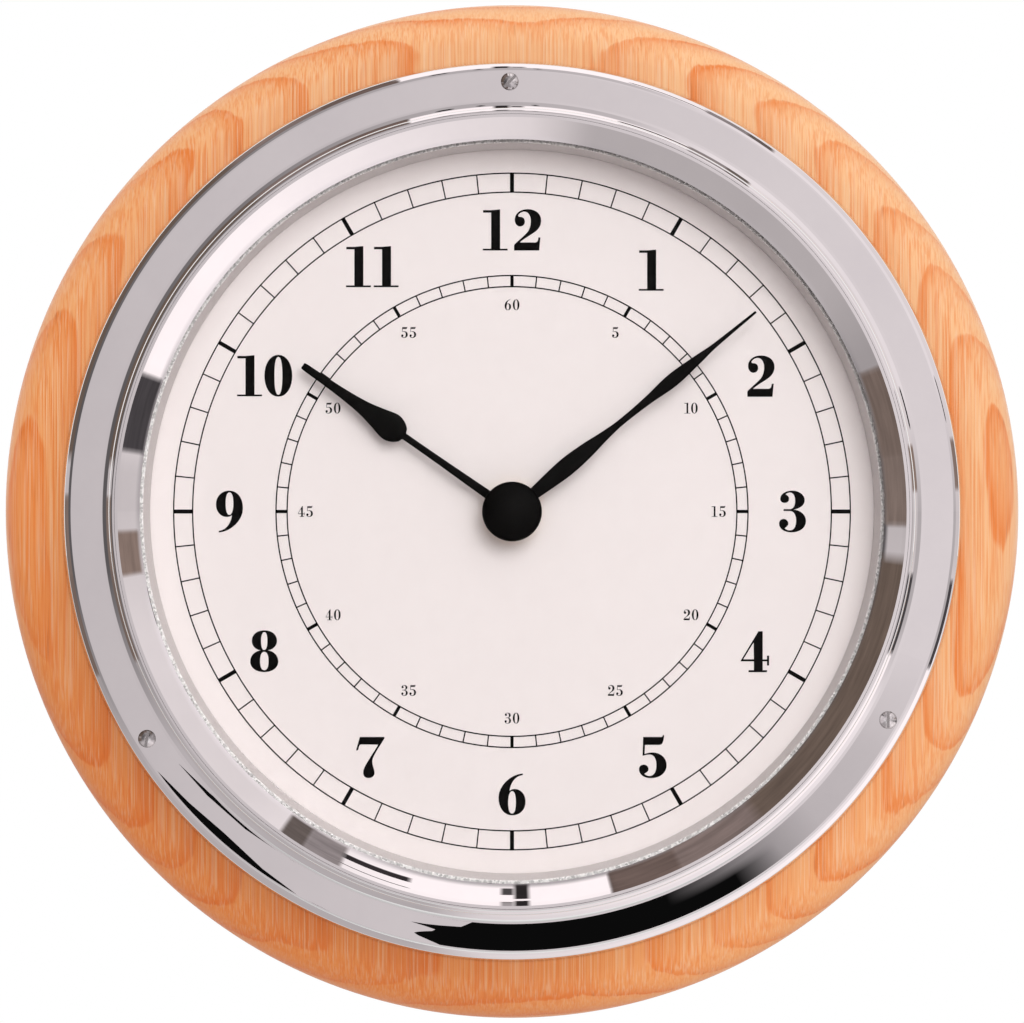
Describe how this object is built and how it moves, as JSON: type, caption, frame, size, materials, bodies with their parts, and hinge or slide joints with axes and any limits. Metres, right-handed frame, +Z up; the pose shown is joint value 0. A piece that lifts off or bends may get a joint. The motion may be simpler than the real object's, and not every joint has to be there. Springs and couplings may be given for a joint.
{
  "type": "ships clock",
  "caption": "Round wall-hung ship's clock: chromed flanged case with glazed white dial, black hands and quartz movement, screwed to a turned wooden board with a keyhole hanger.",
  "frame": {"origin": "centre of the wooden board's back face, where the dial's axis meets the wall", "axes": "+Z up towards twelve o'clock, +X to the viewer's right, +Y into the wall, dial faces -Y"},
  "size_m": [0.204, 0.0521, 0.204],
  "materials": {
    "board_wood": "satin varnished ash with an orange tone, grain upright",
    "chrome": "polished chrome plate on brass",
    "plain_steel": "bright zinc-plated steel",
    "window_glass": "clear flat mineral glass",
    "pale_seal": "pale soft sealing compound",
    "rehaut_grey": "matte grey anodised aluminium",
    "dial_white": "matte warm white paint with black print",
    "hand_black": "satin black paint on aluminium",
    "movement_black": "moulded black plastic",
    "gear_white": "natural white moulded plastic",
    "bright_brass": "turned and stamped brass",
    "coil_copper": "enamelled copper wire",
    "magnet_grey": "sintered magnet, dark grey",
    "circuit_green": "green solder mask on laminate",
    "cell_jacket": "plain blue-grey jacket on a steel can"
  },
  "bodies": {
    "clock_case": {"backing_board": "board_wood", "case_body": "chrome", "bezel_ring": "chrome", "flange_screw_1": "chrome", "flange_screw_2": "chrome", "flange_screw_3": "chrome", "hanger_plate": "plain_steel", "hanger_screw_1": "plain_steel", "hanger_screw_2": "plain_steel", "dial_snap_ring": "plain_steel", "stator": "plain_steel", "coil_core": "plain_steel", "quartz_crystal": "plain_steel", "contact_minus": "plain_steel", "glass": "window_glass", "glass_seal": "pale_seal", "dial_washer": "pale_seal", "rehaut_ring": "rehaut_grey", "dial_plate": "dial_white", "movement_front_case": "movement_black", "movement_rear_cover": "movement_black", "driver_chip": "movement_black", "train_bridge": "gear_white", "coil_bobbin": "gear_white", "bush_nut": "bright_brass", "contact_plus": "bright_brass", "coil_winding": "coil_copper", "circuit_board": "circuit_green", "battery": "cell_jacket"},
    "minute": {"minute_arbor": "plain_steel", "clutch_spring": "plain_steel", "minute_hand": "hand_black", "hand_cap": "hand_black"},
    "hour": {"hour_wheel": "gear_white", "hour_hand": "hand_black"},
    "setting": {"minute_wheel": "gear_white", "setting_knob": "movement_black"},
    "rotor": {"rotor_pinion": "gear_white", "rotor_magnet": "magnet_grey"},
    "fifth": {"fifth_wheel": "gear_white"},
    "second": {"second_wheel": "gear_white"},
    "third": {"third_wheel": "gear_white"},
    "centre": {"centre_wheel": "bright_brass"}
  },
  "joints": [
    {"name": "minute_turn", "type": "hinge", "parent": "clock_case", "child": "minute", "pos_m": [0, -0.03, 0], "axis": [0, 1, 0], "continuous": true},
    {"name": "hour_turn", "type": "hinge", "parent": "clock_case", "child": "hour", "pos_m": [0, -0.03, 0], "axis": [0, 1, 0], "continuous": true},
    {"name": "setting_turn", "type": "hinge", "parent": "clock_case", "child": "setting", "pos_m": [-0.00931, -0.03, 0.00538], "axis": [0, 1, 0], "continuous": true},
    {"name": "rotor_turn", "type": "hinge", "parent": "clock_case", "child": "rotor", "pos_m": [-0.00005, -0.03, 0.01392], "axis": [0, 1, 0], "continuous": true},
    {"name": "fifth_turn", "type": "hinge", "parent": "clock_case", "child": "fifth", "pos_m": [-0.00125, -0.03, 0.00709], "axis": [0, 1, 0], "continuous": true},
    {"name": "second_turn", "type": "hinge", "parent": "clock_case", "child": "second", "pos_m": [0, -0.03, 0], "axis": [0, 1, 0], "continuous": true},
    {"name": "third_turn", "type": "hinge", "parent": "clock_case", "child": "third", "pos_m": [0.00964, -0.03, 0.00351], "axis": [0, 1, 0], "continuous": true},
    {"name": "centre_turn", "type": "hinge", "parent": "clock_case", "child": "centre", "pos_m": [0, -0.03, 0], "axis": [0, 1, 0], "continuous": true}
  ],
  "couplings": [
    {"joint": "hour_turn", "follows": "minute_turn", "ratio": 0.083333},
    {"joint": "setting_turn", "follows": "minute_turn", "ratio": -0.33333},
    {"joint": "fifth_turn", "follows": "rotor_turn", "ratio": -0.16667},
    {"joint": "second_turn", "follows": "rotor_turn", "ratio": 0.033333},
    {"joint": "third_turn", "follows": "rotor_turn", "ratio": -0.0041667},
    {"joint": "centre_turn", "follows": "rotor_turn", "ratio": 0.00055556}
  ]
}
